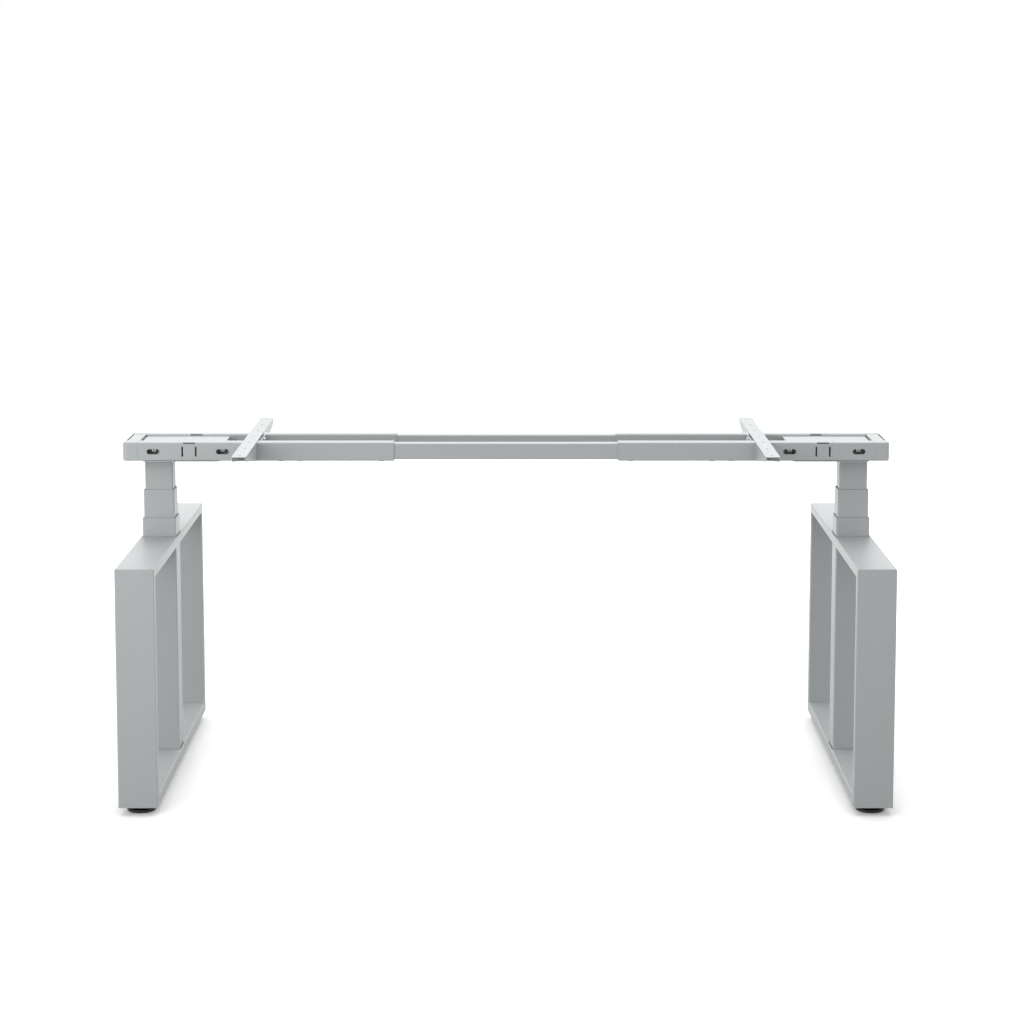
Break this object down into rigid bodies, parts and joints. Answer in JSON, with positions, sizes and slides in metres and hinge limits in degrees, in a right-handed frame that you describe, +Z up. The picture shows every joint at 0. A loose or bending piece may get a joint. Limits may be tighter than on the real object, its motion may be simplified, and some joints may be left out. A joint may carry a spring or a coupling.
{
  "type": "standing desk frame",
  "caption": "Height-adjustable desk frame: closed side frames on levelling feet, three-stage lifting columns, telescopic top rails and desktop brackets.",
  "frame": {"origin": "on the floor under the middle of the frame", "axes": "+X to the right along the rails, +Y to the back, +Z up"},
  "size_m": [1.628, 0.75, 0.722],
  "materials": {
    "silver_paint": "satin silver-grey powder coat",
    "black_plastic": "matt black moulded plastic",
    "glide_plastic": "matt dark grey moulded plastic",
    "zinc_steel": "bright zinc plated",
    "bare_steel": "machined",
    "brass": "machined",
    "motor_case": "dark passivated"
  },
  "bodies": {
    "left_side_frame": {"left_front_upright": "silver_paint", "left_rear_upright": "silver_paint", "left_top_bar": "silver_paint", "left_bottom_bar": "silver_paint", "left_outer_tube": "silver_paint", "left_outer_glide": "glide_plastic", "left_nut_post": "bare_steel"},
    "left_middle_stage": {"left_middle_tube": "silver_paint", "left_middle_glides": "glide_plastic", "left_screw_tube": "brass"},
    "left_head": {"left_inner_tube": "silver_paint", "left_inner_glide": "glide_plastic", "left_spindle": "bare_steel", "left_gearbox": "bare_steel", "left_motor": "motor_case", "left_head_plate": "silver_paint", "left_end_cap": "silver_paint", "left_cap_lid": "silver_paint", "left_cover_plate": "silver_paint", "left_front_outer_rail": "silver_paint", "left_rear_outer_rail": "silver_paint", "left_cross_channel": "silver_paint", "left_desktop_bracket": "silver_paint", "left_head_bolts": "zinc_steel", "left_pan_screws": "zinc_steel"},
    "left_front_foot": {"left_front_foot_pad": "black_plastic", "left_front_foot_stud": "zinc_steel"},
    "left_rear_foot": {"left_rear_foot_pad": "black_plastic", "left_rear_foot_stud": "zinc_steel"},
    "right_side_frame": {"right_front_upright": "silver_paint", "right_rear_upright": "silver_paint", "right_top_bar": "silver_paint", "right_bottom_bar": "silver_paint", "right_outer_tube": "silver_paint", "right_outer_glide": "glide_plastic", "right_nut_post": "bare_steel"},
    "right_middle_stage": {"right_middle_tube": "silver_paint", "right_middle_glides": "glide_plastic", "right_screw_tube": "brass"},
    "right_head": {"right_inner_tube": "silver_paint", "right_inner_glide": "glide_plastic", "right_spindle": "bare_steel", "right_gearbox": "bare_steel", "right_motor": "motor_case", "right_head_plate": "silver_paint", "right_end_cap": "silver_paint", "right_cap_lid": "silver_paint", "right_cover_plate": "silver_paint", "right_front_outer_rail": "silver_paint", "right_rear_outer_rail": "silver_paint", "right_cross_channel": "silver_paint", "right_desktop_bracket": "silver_paint", "right_head_bolts": "zinc_steel", "right_pan_screws": "zinc_steel"},
    "right_front_foot": {"right_front_foot_pad": "black_plastic", "right_front_foot_stud": "zinc_steel"},
    "right_rear_foot": {"right_rear_foot_pad": "black_plastic", "right_rear_foot_stud": "zinc_steel"},
    "inner_rails": {"front_inner_rail": "silver_paint", "rear_inner_rail": "silver_paint"}
  },
  "joints": [
    {"name": "left_middle_lift", "type": "slide", "parent": "left_side_frame", "child": "left_middle_stage", "axis": [0, 0, 1], "range_m": [-0.055, 0.265]},
    {"name": "left_head_lift", "type": "slide", "parent": "left_middle_stage", "child": "left_head", "axis": [0, 0, 1], "range_m": [-0.055, 0.265]},
    {"name": "left_width", "type": "slide", "parent": "left_head", "child": "inner_rails", "axis": [1, 0, 0], "range_m": [-0.08, 0.16]},
    {"name": "right_width", "type": "slide", "parent": "inner_rails", "child": "right_head", "axis": [1, 0, 0], "range_m": [-0.08, 0.16]},
    {"name": "right_head_lift", "type": "slide", "parent": "right_head", "child": "right_middle_stage", "axis": [0, 0, 1], "range_m": [-0.265, 0.055]},
    {"name": "right_middle_lift", "type": "slide", "parent": "right_middle_stage", "child": "right_side_frame", "axis": [0, 0, 1], "range_m": [-0.265, 0.055]},
    {"name": "left_front_foot_level", "type": "slide", "parent": "left_side_frame", "child": "left_front_foot", "axis": [0, 0, 1], "range_m": [-0.006, 0.006]},
    {"name": "left_rear_foot_level", "type": "slide", "parent": "left_side_frame", "child": "left_rear_foot", "axis": [0, 0, 1], "range_m": [-0.006, 0.006]},
    {"name": "right_front_foot_level", "type": "slide", "parent": "right_side_frame", "child": "right_front_foot", "axis": [0, 0, 1], "range_m": [-0.006, 0.006]},
    {"name": "right_rear_foot_level", "type": "slide", "parent": "right_side_frame", "child": "right_rear_foot", "axis": [0, 0, 1], "range_m": [-0.006, 0.006]}
  ],
  "couplings": [
    {"joint": "left_head_lift", "follows": "left_middle_lift", "ratio": 1},
    {"joint": "right_head_lift", "follows": "left_middle_lift", "ratio": -1},
    {"joint": "right_middle_lift", "follows": "left_middle_lift", "ratio": -1}
  ]
}
